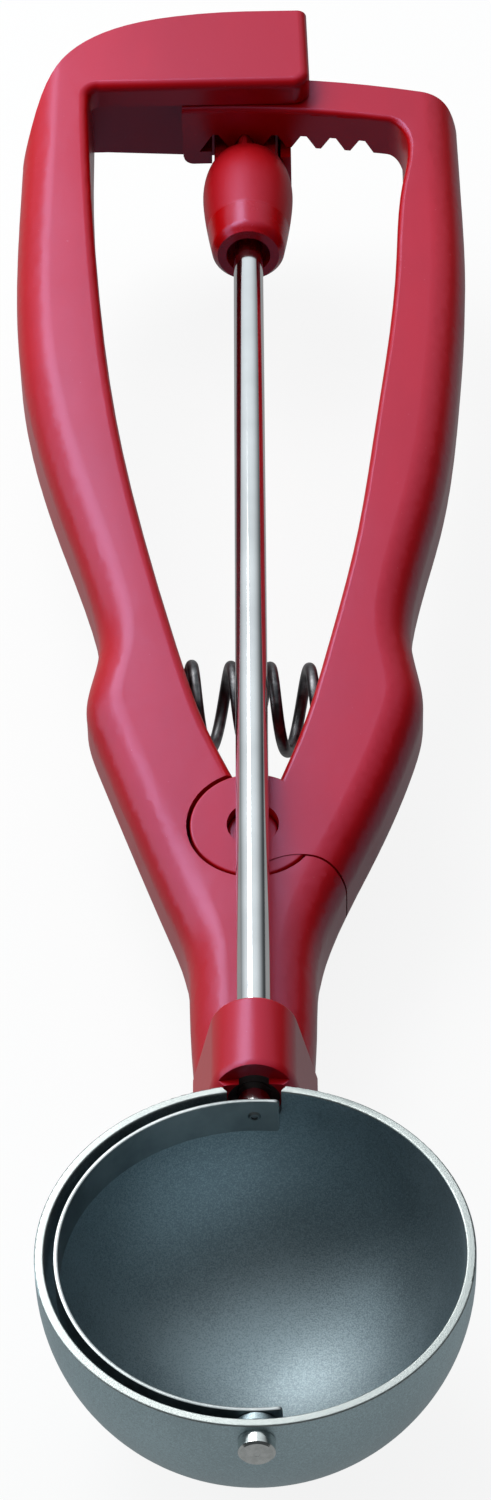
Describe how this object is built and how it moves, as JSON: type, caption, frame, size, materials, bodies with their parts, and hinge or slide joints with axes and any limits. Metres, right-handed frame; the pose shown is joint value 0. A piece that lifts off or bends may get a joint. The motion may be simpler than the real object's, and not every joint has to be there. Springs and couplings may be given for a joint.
{
  "type": "ice cream scoop",
  "caption": "Lever ice cream scoop: squeezing the sprung handle turns a scraper blade half a turn inside a hemispherical bowl.",
  "frame": {"origin": "centre of the bowl's sphere, on the drive shaft's axis", "axes": "+Y along the drive shaft from the bowl to the handles' top; +Z out of the bowl's mouth; +X towards the lever"},
  "size_m": [0.0603, 0.2399, 0.0408],
  "materials": {
    "bowl_steel": "bead-blasted matt",
    "blade_steel": "bead-blasted matt",
    "shaft_chrome": "polished",
    "spring_steel": "drawn wire",
    "red_plastic": "satin gloss",
    "screw_steel": "plated",
    "bush_plastic": "dark natural"
  },
  "bodies": {
    "frame": {"bowl": "bowl_steel", "bowl_tang": "bowl_steel", "fixed_handle": "red_plastic", "pivot_pin": "red_plastic", "pivot_screw": "screw_steel", "pivot_washer": "screw_steel", "pivot_shim": "bush_plastic", "return_spring": "spring_steel", "nose_bush": "bush_plastic", "tail_bush": "bush_plastic", "front_rivet": "bowl_steel", "rivet_spacer": "bowl_steel"},
    "lever": {"lever_handle": "red_plastic"},
    "scraper": {"drive_shaft": "shaft_chrome", "pinion": "red_plastic", "scraper_blade": "blade_steel"}
  },
  "joints": [
    {"name": "lever_squeeze", "type": "hinge", "parent": "frame", "child": "lever", "pos_m": [0, 0.0724, -0.0037], "axis": [0, -0.1426, 0.9898], "range_deg": [0, 5.6], "stiffness_Nm_per_rad": 1.2, "springref_deg": -5.73, "deforming": ["return_spring"]},
    {"name": "scraper_spin", "type": "hinge", "parent": "frame", "child": "scraper", "pos_m": [0, 0, 0], "axis": [0, 1, 0], "range_deg": [-180.02, 0]}
  ],
  "couplings": [
    {"joint": "scraper_spin", "follows": "lever_squeeze", "ratio": -32.167}
  ]
}
